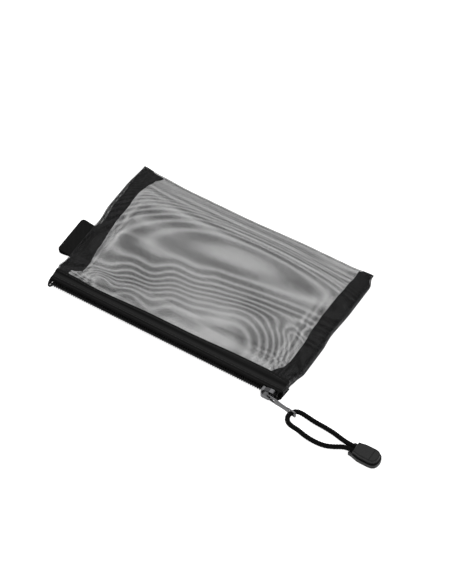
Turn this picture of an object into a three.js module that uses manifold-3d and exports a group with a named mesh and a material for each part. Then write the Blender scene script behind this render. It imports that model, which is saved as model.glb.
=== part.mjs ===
// A flat zip pouch of folded mesh, with a coil zip along one long edge and a cord pull on its slider.
// Millimetres. X runs along the zip towards its closed end, Y from the zip to the fold, Z up.
// The origin is the middle of the underside that the pouch rests on.

import * as THREE from 'three';
import { mergeVertices } from 'three/addons/utils/BufferGeometryUtils.js';
import Module from 'manifold-3d';

const wasm = await Module();
wasm.setup();

// Driving dimensions: the folded mesh sheet
const pouchLength = 171;
const pouchDepth = 110;
const meshThickness = 0.4;
const foldHeight = 3.6;
const seamHeight = 5.0;
const edgeRadius = 1.6;
const edgeShareLeast = 0.3;
const seamBlendWidth = 12;
const tapeStepWidth = 4;
const sheetSteps = 5;
const seatGap = 0.3;

// Driving dimensions: the bound seam allowances inside the two short sides
const bindingWidth = 9.4;
const bindingThickness = 0.35;
const bindingInset = 0.9;
const bindingFrontLeft = 17;
const bindingFrontRight = 7.5;
const bindingRearGap = 1.6;
const fanFarWidth = 6;
const fanFarLength = 18;
const fanLeftWidth = 4;
const fanLeftLength = 42;
const fanRightWidth = 4.5;
const fanRightLength = 14;
const allowanceThickness = 0.8;
const bindingSlope = 1.5;
const seamStep = 5;

// Driving dimensions: the webbing tab caught in the left seam
const tabWidth = 28;
const tabReach = 10;
const tabThickness = 0.8;
const tabLegGap = 0.2;
const tabLoopHeight = 4.2;
const tabTail = 8.6;
const tabFromZip = 24.5;
const tabCornerRadius = 3;
const tabNeckReach = 1.6;
const tabNeckShare = 1.35;
const tabShoulderReach = 2.6;
const tabShoulderShare = 0.86;

// Driving dimensions: the zip, a coil chain sewn on two folded tapes
const zipHeight = 8.2;
const tapeThickness = 0.45;
const tapeLeg = 9.4;
const tapeBendRadius = 1.1;
const tapeSlot = 1.7;
const tapeEndGap = 0.3;
const coilPitch = 1.6;
const coilTurns = 105;
const coilSteps = 6;
const wireRadius = 0.3;
const chainHalfWidth = 1.9;
const headOverlap = 0.3;
const coilDepth = 1.9;
const coilSeat = 0.2;
const coilLag = 0.7;
const fillerRadius = 0.18;

// Driving dimensions: the slider
const sliderLength = 9;
const sliderFromEnd = 9;
const sliderTravel = 154;
const sliderPlate = 0.85;
const sliderWall = 0.7;
const sliderClearance = 0.22;
const chainSpread = 1.0;
const spreadStart = -2.4;
const spreadEnd = 1.4;
const sliderRearCorner = 0.6;
const sliderFrontCorner = 1.2;
const wedgeHalfWidth = 0.5;
const wedgeStart = 0.4;
const wedgeFull = 2.2;
const wedgeEndGap = 0.8;
const rearPlateHalfWidth = 3.2;
const crownLength = 7.2;
const crownWidth = 1.8;
const crownBar = 0.9;
const crownOpening = 2.0;
const crownLeg = 1.1;
const crownCorner = 1.9;
const crownInnerCorner = 0.6;
const weldDepth = 0.2;

// Driving dimensions: the pull tab, its cord loop and the moulded cord end
const pullThickness = 1.1;
const pullHalfWidth = 2.1;
const pullWaist = 1.75;
const pullCordHalfWidth = 2.35;
const pullBar = 1.1;
const pullHingeOffset = 1.2;
const pullCorner = 0.5;
const pullCordCorner = 1;
const pullBevel = 0.15;
const pullWaistStart = 5;
const pullWaistEnd = -5;
const pullShoulder = 3;
const pullSlotCorner = 0.4;
const pullSlotReach = 5.6;
const pullSlotHalfHeight = 1.2;
const pullToCord = 19;
const pullAngle = -8.3;
const cordDiameter = 2.8;
const cordClearance = 0.25;
const strandGap = 0.2;
const cordSlotHalfLength = 2.0;
const loopRadius = 5.6;
const loopEntry = 27.7;
const cordEndLength = 20;
const cordEndWidth = 11.5;
const cordEndMouthWidth = 8.2;
const cordEndHeight = 7;
const cordEndParting = 0.16;
const cordEndFromLoop = 38.5;
const cordEndBevel = 0.8;
const cordEndShoulder = 9;
const cordEndTip = 5.5;
const cordEndMouthDepth = 6;
const capFromMouth = 3;
const capMouthWidth = 7.8;
const capInset = 0.9;
const pegRadius = 0.8;
const pegHeight = 0.8;
const pegFromTip = 3.2;
const gripFromMouth = 14.3;
const gripWidth = 0.8;
const gripDepth = 0.4;
const knotFromMouth = 3.6;
const knotLength = 7.4;
const knotWidth = 6.6;
const knotHeight = 4.0;

// Places worked out from the sizes
const zipFaceY = -pouchDepth / 2;
const foldY = pouchDepth / 2;
const zipMidZ = zipHeight / 2;
const sideX = pouchLength / 2;
const mouthY = zipFaceY + 2.5;
const tapeRearY = zipFaceY + tapeLeg;
const stepStartY = tapeRearY + 1.5;
const zipRunHeight = zipHeight - tapeThickness - seatGap;
const coilCentreOut = coilSeat + coilDepth / 2;
const platesInnerOut = coilSeat + coilDepth + coilSeat;
const crownFootOut = platesInnerOut + sliderPlate;
const hingeOut = crownFootOut + crownOpening / 2;
const sliderX = sideX - sliderFromEnd;

const group = new THREE.Group();

const materials = {
  mesh: new THREE.MeshStandardMaterial({ color: 0x55585a, roughness: 0.85, metalness: 0 }),
  binding: new THREE.MeshStandardMaterial({ color: 0x151516, roughness: 0.9, metalness: 0 }),
  webbing: new THREE.MeshStandardMaterial({ color: 0x131314, roughness: 0.85, metalness: 0 }),
  tape: new THREE.MeshStandardMaterial({ color: 0x171718, roughness: 0.9, metalness: 0 }),
  coil: new THREE.MeshStandardMaterial({ color: 0x0d0d0e, roughness: 0.45, metalness: 0 }),
  metal: new THREE.MeshStandardMaterial({ color: 0x3c3c3f, roughness: 0.3, metalness: 1 }),
  cord: new THREE.MeshStandardMaterial({ color: 0x101011, roughness: 0.8, metalness: 0 }),
  plastic: new THREE.MeshStandardMaterial({ color: 0x1b1b1c, roughness: 0.45, metalness: 0 }),
};

// Shared vertices are merged, so that the surface is one closed skin
function welded(geometry) {
  const bare = geometry.clone();
  bare.deleteAttribute('normal');
  bare.deleteAttribute('uv');
  return mergeVertices(bare, 1e-4);
}

function toSolid(geometry) {
  const merged = welded(geometry);
  const vertProperties = new Float32Array(merged.attributes.position.array);
  const triVerts = new Uint32Array(merged.index.array);
  return new wasm.Manifold(new wasm.Mesh({ numProp: 3, vertProperties, triVerts }));
}

function toGeometry(solid) {
  const mesh = solid.getMesh();
  const geometry = new THREE.BufferGeometry();
  geometry.setAttribute('position', new THREE.BufferAttribute(new Float32Array(mesh.vertProperties), 3));
  geometry.setIndex(new THREE.BufferAttribute(new Uint32Array(mesh.triVerts), 1));
  return geometry;
}

function combine(base, added, removed) {
  let solid = toSolid(base);
  for (const geometry of added) {
    solid = solid.add(toSolid(geometry));
  }
  for (const geometry of removed) {
    solid = solid.subtract(toSolid(geometry));
  }
  return toGeometry(solid);
}

function addPart(name, geometry, material, parent = group) {
  const mesh = new THREE.Mesh(geometry, material);
  mesh.name = name;
  parent.add(mesh);
  return mesh;
}

// A profile drawn in (Y, Z) is swept along X from x0 to x1
function sweepX(shape, x0, x1, curveSegments = 6) {
  const geometry = new THREE.ExtrudeGeometry(shape, { depth: x1 - x0, bevelEnabled: false, curveSegments });
  const y = new THREE.Vector3(0, 1, 0);
  const z = new THREE.Vector3(0, 0, 1);
  const x = new THREE.Vector3(1, 0, 0);
  geometry.applyMatrix4(new THREE.Matrix4().makeBasis(y, z, x));
  geometry.translate(x0, 0, 0);
  return geometry;
}

// A profile drawn in (X, Z) is swept along Y from y0 to y1
function sweepY(shape, y0, y1, curveSegments = 6) {
  const geometry = new THREE.ExtrudeGeometry(shape, { depth: y1 - y0, bevelEnabled: false, curveSegments });
  geometry.rotateX(Math.PI / 2);
  geometry.translate(0, y1, 0);
  return geometry;
}

// A profile drawn in (X, Y) is swept up from z0 to z1
function sweepZ(shape, z0, z1, curveSegments = 6) {
  const geometry = new THREE.ExtrudeGeometry(shape, { depth: z1 - z0, bevelEnabled: false, curveSegments });
  geometry.translate(0, 0, z0);
  return geometry;
}

function shapeOf(points) {
  return new THREE.Shape(points.map(([a, b]) => new THREE.Vector2(a, b)));
}

function rectangle(a0, a1, b0, b1) {
  return shapeOf([[a0, b0], [a1, b0], [a1, b1], [a0, b1]]);
}

function roundedRectangle(a0, a1, b0, b1, radius) {
  const shape = new THREE.Shape();
  shape.moveTo(a0 + radius, b0);
  shape.lineTo(a1 - radius, b0);
  shape.absarc(a1 - radius, b0 + radius, radius, -Math.PI / 2, 0);
  shape.lineTo(a1, b1 - radius);
  shape.absarc(a1 - radius, b1 - radius, radius, 0, Math.PI / 2);
  shape.lineTo(a0 + radius, b1);
  shape.absarc(a0 + radius, b1 - radius, radius, Math.PI / 2, Math.PI);
  shape.lineTo(a0, b0 + radius);
  shape.absarc(a0 + radius, b0 + radius, radius, Math.PI, 1.5 * Math.PI);
  return shape;
}

// A strip of even thickness whose middle follows the given points
function strip(points, thickness) {
  const middle = points.map(([a, b]) => new THREE.Vector2(a, b));
  const left = [];
  const right = [];
  middle.forEach((point, i) => {
    const before = middle[Math.max(i - 1, 0)];
    const after = middle[Math.min(i + 1, middle.length - 1)];
    const along = after.clone().sub(before).normalize();
    const across = new THREE.Vector2(-along.y, along.x).multiplyScalar(thickness / 2);
    left.push(point.clone().add(across));
    right.unshift(point.clone().sub(across));
  });
  return new THREE.Shape(left.concat(right));
}

// A skin through rings of equal point counts, closed at both ends by the flat outline of its rings
function loft(rings, outline) {
  const count = outline.length;
  const positions = rings.flat().flatMap((point) => point.toArray());
  const index = [];
  for (let r = 0; r + 1 < rings.length; r++) {
    for (let i = 0; i < count; i++) {
      const a = r * count + i;
      const b = r * count + ((i + 1) % count);
      index.push(a, b, b + count);
      index.push(a, b + count, a + count);
    }
  }
  const last = (rings.length - 1) * count;
  for (const [a, b, c] of THREE.ShapeUtils.triangulateShape(outline, [])) {
    index.push(c, b, a);
    index.push(last + a, last + b, last + c);
  }
  const geometry = new THREE.BufferGeometry();
  geometry.setAttribute('position', new THREE.Float32BufferAttribute(positions, 3));
  geometry.setIndex(index);
  return geometry;
}

function smoothStep(value, low, high) {
  return THREE.MathUtils.smoothstep(value, low, high);
}

// Values from one number to another in equal steps, both ends included
function evenSteps(from, to, count) {
  return Array.from({ length: count + 1 }, (_, i) => THREE.MathUtils.lerp(from, to, i / count));
}

// Height of the pouch over its underside, along its middle: nearly level, then down to the fold
function middleHeight(y) {
  const share = (y - mouthY) / (foldY - mouthY);
  return zipRunHeight - (zipRunHeight - foldHeight) * share ** 3;
}

// Height at the side seams, where the two layers are drawn together behind the zip
function sideHeight(y) {
  const middle = middleHeight(y);
  const low = Math.min(seamHeight, middle);
  return middle + (low - middle) * smoothStep(y, tapeRearY, tapeRearY + seamBlendWidth);
}

function seamMiddle(y) {
  return sideHeight(y) / 2;
}

// The underside is flat, apart from a low step up onto the lower zip tape
function undersideHeight(y) {
  const step = tapeThickness + seatGap;
  return step * (1 - smoothStep(y, stepStartY, stepStartY + tapeStepWidth));
}

// One outline of the folded sheet across the pouch, set in from its outer face by an inset
function sheetOutline(x, inset, frontY) {
  const fromSide = sideX - Math.abs(x);
  const bindingEnd = bindingInset + bindingWidth;
  const drawn = 1 - smoothStep(fromSide, bindingEnd, bindingEnd + seamBlendWidth);
  const edge = 1 - Math.min(fromSide / edgeRadius, 1);
  const edgeShare = Math.max(Math.sqrt(1 - edge * edge), edgeShareLeast);
  const span = (y) => {
    const height = middleHeight(y) + (sideHeight(y) - middleHeight(y)) * drawn;
    const middle = (height + undersideHeight(y)) / 2;
    const half = ((height - undersideHeight(y)) / 2) * edgeShare;
    return [middle - half + inset, middle + half - inset];
  };
  const foldRadius = foldHeight / 2;
  const foldCentre = foldY - foldRadius;
  const lower = [frontY].concat(evenSteps(stepStartY, stepStartY + tapeStepWidth, 2), [0]);
  const open = evenSteps(foldCentre, tapeRearY + seamBlendWidth, sheetSteps).slice(1);
  const upper = open.concat([tapeRearY + seamBlendWidth / 2, tapeRearY, frontY]);
  const points = lower.map((y) => [y, span(y)[0]]);
  const [low, high] = span(foldCentre);
  for (const turn of [-90, -50, -15, 15, 50, 90]) {
    const angle = THREE.MathUtils.degToRad(turn);
    const y = foldCentre + (foldRadius - inset) * Math.cos(angle);
    points.push([y, (low + high) / 2 + ((high - low) / 2) * Math.sin(angle)]);
  }
  upper.forEach((y) => points.push([y, span(y)[1]]));
  return points;
}

// Stations from the left side seam to the right one, closer together where the sheet bends
function sheetStations(sideWall) {
  const bindingEnd = bindingInset + bindingWidth;
  const fromSide = [sideWall, 0.8, edgeRadius, bindingEnd, bindingEnd + 4, bindingEnd + 8];
  const right = fromSide.concat([bindingEnd + seamBlendWidth, sideX / 2]).map((inset) => sideX - inset);
  return right.map((x) => -x).concat([0], right.reverse());
}

function sheetSolid(inset, frontY) {
  const stations = sheetStations(inset);
  const outlines = stations.map((x) => sheetOutline(x, inset, frontY));
  const rings = outlines.map((points, i) => points.map(([y, z]) => new THREE.Vector3(stations[i], y, z)));
  return loft(rings, outlines[0].map(([y, z]) => new THREE.Vector2(y, z)));
}

// Seam allowance: the joined edges of both layers, turned inwards as a flat flange
function allowanceSolid(side, frontY) {
  const inner = sideX - bindingInset - bindingWidth + bindingThickness + seatGap;
  const outer = sideX - meshThickness / 2;
  const low = Math.min(side * inner, side * outer);
  const high = Math.max(side * inner, side * outer);
  return flatLoft(low, high, frontY, foldY - bindingRearGap, allowanceThickness / 2);
}

// A flat bar between low and high in X that follows the middle of the side seam
function flatLoft(low, high, frontY, rearY, half) {
  const rings = seamStations(frontY, rearY).reverse().map((y) => {
    const z = seamMiddle(y);
    return [[low, -half], [high, -half], [high, half], [low, half]]
      .map(([x, dz]) => new THREE.Vector3(x, y, z + dz));
  });
  return loft(rings, rings[0].map((point) => new THREE.Vector2(point.x, point.z)));
}

function seamStations(frontY, rearY) {
  return evenSteps(frontY, rearY, Math.round((rearY - frontY) / seamStep));
}

function meshBody() {
  const cavity = sheetSolid(meshThickness, mouthY - 1);
  const shell = combine(sheetSolid(0, mouthY), [], [cavity]);
  const flanges = [
    allowanceSolid(-1, zipFaceY + bindingFrontLeft),
    allowanceSolid(1, zipFaceY + bindingFrontRight),
  ];
  const slotHalf = tabThickness + tabLegGap / 2 + seatGap;
  const slotMiddle = seamMiddle(tabMiddleY());
  const slotProfile = rectangle(
    -sideX - 1,
    -sideX + tabTail + 1,
    slotMiddle - slotHalf,
    slotMiddle + slotHalf,
  );
  const slot = sweepY(slotProfile, tabStartY() - seatGap, tabStartY() + tabWidth + seatGap);
  return combine(shell, flanges, [slot]);
}

function tabStartY() {
  return zipFaceY + tabFromZip;
}

function tabMiddleY() {
  return tabStartY() + tabWidth / 2;
}

// Half the space that the binding leaves round what it wraps, wider where it wraps the tab's ends
function bindingHalfGap(y) {
  const alone = allowanceThickness / 2 + seatGap;
  const onTab = tabThickness + tabLegGap / 2 + seatGap;
  const low = tabStartY() - seatGap;
  const high = tabStartY() + tabWidth + seatGap;
  return y >= low && y <= high ? onTab : alone;
}

// How far the turned-in corners of a binding widen it: towards the fold on the left, towards the zip
// on both sides
function bindingFan(side, y) {
  if (side > 0) {
    const rightFrontY = zipFaceY + bindingFrontRight;
    return fanRightWidth * (1 - smoothStep(y, rightFrontY, rightFrontY + fanRightLength));
  }
  const frontY = zipFaceY + bindingFrontLeft;
  const rearY = foldY - bindingRearGap;
  const far = smoothStep(y, rearY - fanFarLength, rearY) ** 2;
  const near = Math.max((frontY + fanLeftLength - y) / fanLeftLength, 0);
  return fanFarWidth * far + fanLeftWidth * near;
}

// Binding tape folded over the seam allowance, open towards the side seam
function sideBinding(side, frontY) {
  const outer = sideX - bindingInset;
  const rearY = foldY - bindingRearGap;
  let stations = seamStations(frontY, rearY);
  if (side < 0) {
    const low = tabStartY() - seatGap;
    const high = tabStartY() + tabWidth + seatGap;
    const kept = stations.filter((y) => y < low - 2 * bindingSlope || y > high + 2 * bindingSlope);
    stations = kept.concat([low - bindingSlope, low, high, high + bindingSlope]).sort((a, b) => a - b);
  }
  const section = (y) => {
    const inner = outer - bindingWidth - bindingFan(side, y);
    const gap = bindingHalfGap(y);
    const full = gap + bindingThickness;
    const web = inner + bindingThickness;
    return [
      [inner, -full], [outer, -full], [outer, -gap], [web, -gap],
      [web, gap], [outer, gap], [outer, full], [inner, full],
    ];
  };
  const ordered = side > 0 ? stations.reverse() : stations;
  const rings = ordered.map((y) => section(y).map(([x, dz]) => {
    return new THREE.Vector3(side * x, y, seamMiddle(y) + dz);
  }));
  return loft(rings, section(ordered[0]).map(([x, z]) => new THREE.Vector2(x, z)));
}

// Webbing folded into a loop, its two ends caught in the left seam and its corners rounded
function sideTab() {
  const middle = seamMiddle(tabMiddleY());
  const legOffset = (tabThickness + tabLegGap) / 2;
  const loopOffset = (tabLoopHeight - tabThickness) / 2;
  const end = -sideX - tabReach;
  const bulge = end + loopOffset + tabThickness / 2;
  const half = [
    [-sideX + tabTail, legOffset],
    [-sideX, legOffset],
    [-sideX - tabNeckReach, legOffset * tabNeckShare],
    [bulge + tabShoulderReach, loopOffset * tabShoulderShare],
    [bulge, loopOffset],
  ];
  const path = half.map(([x, z]) => [x, middle + z]);
  for (const turn of [125, 155, 180, 205, 235]) {
    const angle = THREE.MathUtils.degToRad(turn);
    path.push([bulge + loopOffset * Math.cos(angle), middle + loopOffset * Math.sin(angle)]);
  }
  half.reverse().forEach(([x, z]) => path.push([x, middle - z]));
  const loop = sweepY(strip(path, tabThickness), tabStartY(), tabStartY() + tabWidth);
  const plan = roundedRectangle(
    end - 0.1,
    -sideX + tabTail + 1 + tabCornerRadius,
    tabStartY(),
    tabStartY() + tabWidth,
    tabCornerRadius,
  );
  return toGeometry(toSolid(loop).intersect(toSolid(sweepZ(plan, -1, zipHeight))));
}

// Half a zip tape: up the front face from beside the chain, over the edge and back over the mesh
function zipTape(side) {
  const middleOut = tapeThickness / 2;
  const bend = tapeBendRadius - middleOut;
  const top = zipHeight / 2 - tapeBendRadius;
  const path = [[zipFaceY + middleOut, tapeSlot / 2]];
  for (const turn of [180, 150, 120, 90]) {
    const angle = THREE.MathUtils.degToRad(turn);
    path.push([zipFaceY + tapeBendRadius + bend * Math.cos(angle), top + bend * Math.sin(angle)]);
  }
  path.push([tapeRearY, top + bend]);
  const placed = path.map(([y, z]) => [y, zipMidZ + side * z]);
  if (side < 0) {
    placed.reverse();
  }
  return sweepX(strip(placed, tapeThickness), -sideX + tapeEndGap, sideX - tapeEndGap);
}

// How far the two half chains stand apart at x: shut behind the slider, open round its wedge
function chainOpening(x) {
  const opened = smoothLine(x, sliderX + spreadStart, sliderX + spreadEnd);
  const closing = smoothLine(x, sliderX + sliderLength / 2, sideX - tapeEndGap);
  return chainSpread * (opened - closing * 0.5);
}

function smoothLine(value, low, high) {
  return THREE.MathUtils.clamp((value - low) / (high - low), 0, 1);
}

// One half chain: a single wire wound as a flat coil. It passes slowly through each head, so that the
// heads of the other half fit between, and quickly round the back of each turn.
function coilPath(side) {
  const reach = (chainHalfWidth + headOverlap) / 2 - wireRadius;
  const centre = reach - headOverlap + wireRadius;
  const depth = (coilDepth / 2 - wireRadius) / Math.sin(Math.PI / 3);
  const start = (-coilTurns * coilPitch) / 2 + (side * coilPitch) / 4;
  const points = [];
  for (let i = 0; i <= coilTurns * coilSteps; i++) {
    const share = i / coilSteps;
    const angle = 2 * Math.PI * share;
    const lag = (coilLag * Math.sin(angle)) / (2 * Math.PI);
    const x = start + coilPitch * (share - lag);
    const across = centre - reach * Math.cos(angle) + chainOpening(x);
    points.push(new THREE.Vector3(
      x,
      zipFaceY - coilCentreOut + depth * Math.sin(angle),
      zipMidZ + side * across,
    ));
  }
  return points;
}

// A tube of few sides along points, its section kept square to the pouch's length
function wire(points, radius, sides, reference) {
  const outline = [];
  for (let k = 0; k < sides; k++) {
    const angle = (2 * Math.PI * k) / sides;
    outline.push(new THREE.Vector2(radius * Math.cos(angle), radius * Math.sin(angle)));
  }
  const rings = points.map((point, i) => {
    const before = points[Math.max(i - 1, 0)];
    const after = points[Math.min(i + 1, points.length - 1)];
    const along = after.clone().sub(before).normalize();
    const first = reference.clone().addScaledVector(along, -reference.dot(along)).normalize();
    const second = along.clone().cross(first);
    return outline.map(({ x, y }) => point.clone().addScaledVector(first, x).addScaledVector(second, y));
  });
  return loft(rings, outline);
}

function zipCoil(side) {
  return wire(coilPath(side), wireRadius, 4, new THREE.Vector3(1, 0, 0));
}

// The cord that each coil is wound on, which keeps its turns from being pulled flat
function fillerCord(side) {
  const centre = (chainHalfWidth - headOverlap) / 2;
  const end = sideX - 1;
  const stops = [spreadStart, spreadEnd, sliderLength / 2].map((offset) => sliderX + offset);
  const stations = [-end, -sideX / 2, 0, sideX / 2].concat(stops, [end]);
  const points = stations.map((x) => new THREE.Vector3(
    x,
    zipFaceY - coilCentreOut,
    zipMidZ + side * (centre + chainOpening(x)),
  ));
  return wire(points, fillerRadius, 6, new THREE.Vector3(0, 1, 0));
}

// The least distance between the wire's middle lines, less its thickness
function leastGap(first, second, skip) {
  let least = Infinity;
  first.forEach((point, i) => {
    const from = skip ? i + skip : Math.max(i - 3 * coilSteps, 0);
    const to = Math.min(i + 3 * coilSteps, second.length);
    for (let j = from; j < to; j++) {
      least = Math.min(least, point.distanceTo(second[j]));
    }
  });
  return least - 2 * wireRadius;
}

// Outline of the slider seen from the front: narrow over the closed chain, broad over the wedge
function sliderOutline(narrow, broad) {
  const half = sliderLength / 2;
  const rear = sliderRearCorner;
  const front = sliderFrontCorner;
  const shape = new THREE.Shape();
  shape.moveTo(-half, -narrow + rear);
  shape.quadraticCurveTo(-half, -narrow, -half + rear, -narrow);
  shape.lineTo(spreadStart, -narrow);
  shape.lineTo(spreadEnd, -broad);
  shape.lineTo(half - front, -broad);
  shape.quadraticCurveTo(half, -broad, half, -broad + front);
  shape.lineTo(half, broad - front);
  shape.quadraticCurveTo(half, broad, half - front, broad);
  shape.lineTo(spreadEnd, broad);
  shape.lineTo(spreadStart, narrow);
  shape.lineTo(-half + rear, narrow);
  shape.quadraticCurveTo(-half, narrow, -half, narrow - rear);
  return shape;
}

// Slider: a front plate with side walls round the chain, a wedge that parts it, a plate behind the
// tapes, and the crown that carries the pull tab, all one casting
function sliderBody() {
  const channelNarrow = chainHalfWidth + sliderClearance;
  const channelBroad = channelNarrow + chainSpread;
  const half = sliderLength / 2;
  const wallEnd = -zipFaceY + seatGap;
  const plateFace = -zipFaceY + platesInnerOut;
  const shellShape = sliderOutline(channelNarrow + sliderWall, channelBroad + sliderWall);
  const channelShape = shapeOf([
    [-half - 1, -channelNarrow],
    [spreadStart, -channelNarrow],
    [spreadEnd, -channelBroad],
    [half + 1, -channelBroad],
    [half + 1, channelBroad],
    [spreadEnd, channelBroad],
    [spreadStart, channelNarrow],
    [-half - 1, channelNarrow],
  ]);
  const wedgeShape = new THREE.Shape();
  wedgeShape.moveTo(wedgeStart, 0);
  wedgeShape.lineTo(wedgeFull, -wedgeHalfWidth);
  wedgeShape.absarc(half - wedgeEndGap, 0, wedgeHalfWidth, -Math.PI / 2, Math.PI / 2);
  wedgeShape.lineTo(wedgeFull, wedgeHalfWidth);
  const rearNarrow = Math.min(channelNarrow + sliderWall, rearPlateHalfWidth);
  const rearShape = sliderOutline(rearNarrow, rearPlateHalfWidth);
  const rearFace = -zipFaceY - tapeThickness - seatGap;
  const outward = (shape, low, high, segments = 3) => {
    const geometry = sweepY(shape, -high, -low, segments);
    geometry.translate(sliderX, 0, zipMidZ);
    return geometry;
  };
  const block = outward(shellShape, wallEnd, plateFace + sliderPlate);
  const channel = outward(channelShape, wallEnd - 1, plateFace);
  const hollow = combine(block, [], [channel]);
  const wedge = outward(wedgeShape, rearFace - weldDepth, plateFace + weldDepth, 4);
  const rear = outward(rearShape, rearFace - sliderPlate, rearFace);
  return combine(hollow, [wedge, rear, crown()], []);
}

// The crown: a low bridge along the slider, drawn in (X, outwards) and swept across it
function crown() {
  const half = crownLength / 2;
  const foot = -zipFaceY + crownFootOut;
  const top = foot + crownOpening + crownBar;
  const shape = new THREE.Shape();
  shape.moveTo(-half, foot - weldDepth);
  shape.lineTo(half, foot - weldDepth);
  shape.lineTo(half, foot + crownOpening / 2);
  shape.quadraticCurveTo(half, top, half - crownCorner, top);
  shape.lineTo(-half + crownCorner, top);
  shape.quadraticCurveTo(-half, top, -half, foot + crownOpening / 2);
  const opening = new THREE.Path();
  const inner = half - crownLeg;
  const ceiling = foot + crownOpening;
  opening.moveTo(-inner, foot);
  opening.lineTo(-inner, ceiling - crownInnerCorner);
  opening.quadraticCurveTo(-inner, ceiling, -inner + crownInnerCorner, ceiling);
  opening.lineTo(inner - crownInnerCorner, ceiling);
  opening.quadraticCurveTo(inner, ceiling, inner, ceiling - crownInnerCorner);
  opening.lineTo(inner, foot);
  shape.holes.push(opening);
  const settings = { depth: crownWidth, bevelEnabled: false, curveSegments: 4 };
  const geometry = new THREE.ExtrudeGeometry(shape, settings);
  geometry.rotateX(Math.PI);
  geometry.translate(sliderX, 0, zipMidZ + crownWidth / 2);
  return geometry;
}

// Outline of the pull tab: broad at both ends, with a waist between and rounded corners
function pullOutline(near, far) {
  const waistStart = pullSlotReach + pullWaistStart;
  const waistEnd = pullToCord + pullWaistEnd;
  const nearShoulder = waistStart - pullShoulder;
  const farShoulder = waistEnd + pullShoulder;
  const shape = new THREE.Shape();
  shape.moveTo(near + pullCorner, -pullHalfWidth);
  shape.lineTo(nearShoulder, -pullHalfWidth);
  shape.quadraticCurveTo(nearShoulder + pullShoulder / 2, -pullWaist, waistStart, -pullWaist);
  shape.lineTo(waistEnd, -pullWaist);
  shape.quadraticCurveTo(waistEnd + pullShoulder / 2, -pullWaist, farShoulder, -pullCordHalfWidth);
  shape.lineTo(far - pullCordCorner, -pullCordHalfWidth);
  shape.quadraticCurveTo(far, -pullCordHalfWidth, far, -pullCordHalfWidth + pullCordCorner);
  shape.lineTo(far, pullCordHalfWidth - pullCordCorner);
  shape.quadraticCurveTo(far, pullCordHalfWidth, far - pullCordCorner, pullCordHalfWidth);
  shape.lineTo(farShoulder, pullCordHalfWidth);
  shape.quadraticCurveTo(waistEnd + pullShoulder / 2, pullWaist, waistEnd, pullWaist);
  shape.lineTo(waistStart, pullWaist);
  shape.quadraticCurveTo(nearShoulder + pullShoulder / 2, pullWaist, nearShoulder, pullHalfWidth);
  shape.lineTo(near + pullCorner, pullHalfWidth);
  shape.quadraticCurveTo(near, pullHalfWidth, near, pullHalfWidth - pullCorner);
  shape.lineTo(near, -pullHalfWidth + pullCorner);
  shape.quadraticCurveTo(near, -pullHalfWidth, near + pullCorner, -pullHalfWidth);
  return shape;
}

// The pull tab stands on edge. It is drawn lying along X from its hinge, then stood up and turned.
function pullTab() {
  const near = -pullBar / 2;
  const far = pullToCord + cordSlotHalfLength + pullBar;
  const shape = pullOutline(near, far);
  const cordHalf = cordDiameter / 2 + cordClearance;
  const crownSlot = slotPath(pullBar / 2, pullSlotReach, pullSlotHalfHeight);
  const cordSlot = slotPath(pullToCord - cordSlotHalfLength, pullToCord + cordSlotHalfLength, cordHalf);
  shape.holes.push(crownSlot, cordSlot);
  const settings = {
    depth: pullThickness - 2 * pullBevel,
    bevelThickness: pullBevel,
    bevelSize: pullBevel,
    bevelOffset: -pullBevel,
    bevelSegments: 1,
    curveSegments: 3,
  };
  const geometry = new THREE.ExtrudeGeometry(shape, settings);
  geometry.translate(0, 0, -pullThickness / 2 + pullBevel);
  geometry.rotateX(Math.PI / 2);
  return geometry;
}

function slotPath(low, high, half) {
  const corner = pullSlotCorner;
  const path = new THREE.Path();
  path.moveTo(low, -half + corner);
  path.lineTo(low, half - corner);
  path.quadraticCurveTo(low, half, low + corner, half);
  path.lineTo(high - corner, half);
  path.quadraticCurveTo(high, half, high, half - corner);
  path.lineTo(high, -half + corner);
  path.quadraticCurveTo(high, -half, high - corner, -half);
  path.lineTo(low + corner, -half);
  path.quadraticCurveTo(low, -half, low, -half + corner);
  return path;
}

// The hinge of the pull tab stands in the crown's opening. The loop's round end passes the tab's slot.
const hinge = new THREE.Vector3(sliderX + pullHingeOffset, zipFaceY - hingeOut, zipMidZ);
const pullTurn = THREE.MathUtils.degToRad(pullAngle);
const slotCentre = new THREE.Vector3(
  hinge.x + pullToCord * Math.cos(pullTurn),
  hinge.y + pullToCord * Math.sin(pullTurn),
  hinge.z,
);
const entry = THREE.MathUtils.degToRad(loopEntry);
const loopCentre = new THREE.Vector3(
  slotCentre.x + loopRadius * Math.cos(entry),
  slotCentre.y - loopRadius * Math.sin(entry),
  slotCentre.z,
);
const cordEndX = loopCentre.x + cordEndFromLoop;
const cordEndMidZ = cordEndHeight / 2;

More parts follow.
